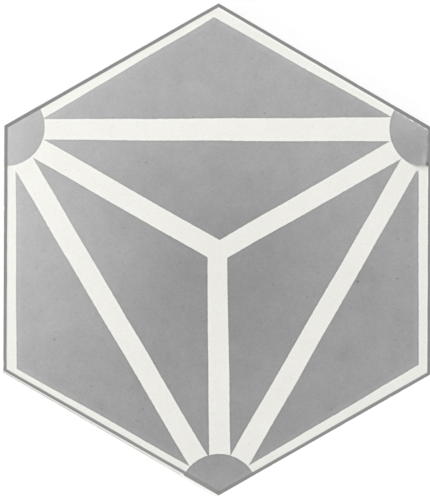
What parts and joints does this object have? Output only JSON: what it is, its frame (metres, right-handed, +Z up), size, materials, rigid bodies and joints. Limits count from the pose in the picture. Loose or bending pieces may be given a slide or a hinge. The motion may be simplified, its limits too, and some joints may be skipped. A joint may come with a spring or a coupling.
{
  "type": "hexagon floor tile",
  "caption": "Hexagonal patterned cement floor tile with a flat wearing face, a bevelled top edge and a plain back for bedding.",
  "frame": {"origin": "centre of the back face, which rests on the floor or bed", "axes": "+Z up out of the wearing face, +Y towards the plain corner at the top of the picture, +X towards the picture's right"},
  "size_m": [0.2, 0.2306, 0.016],
  "materials": {
    "cement_tile": "satin"
  },
  "bodies": {
    "root": {"hexagon_tile": "cement_tile"}
  },
  "joints": []
}
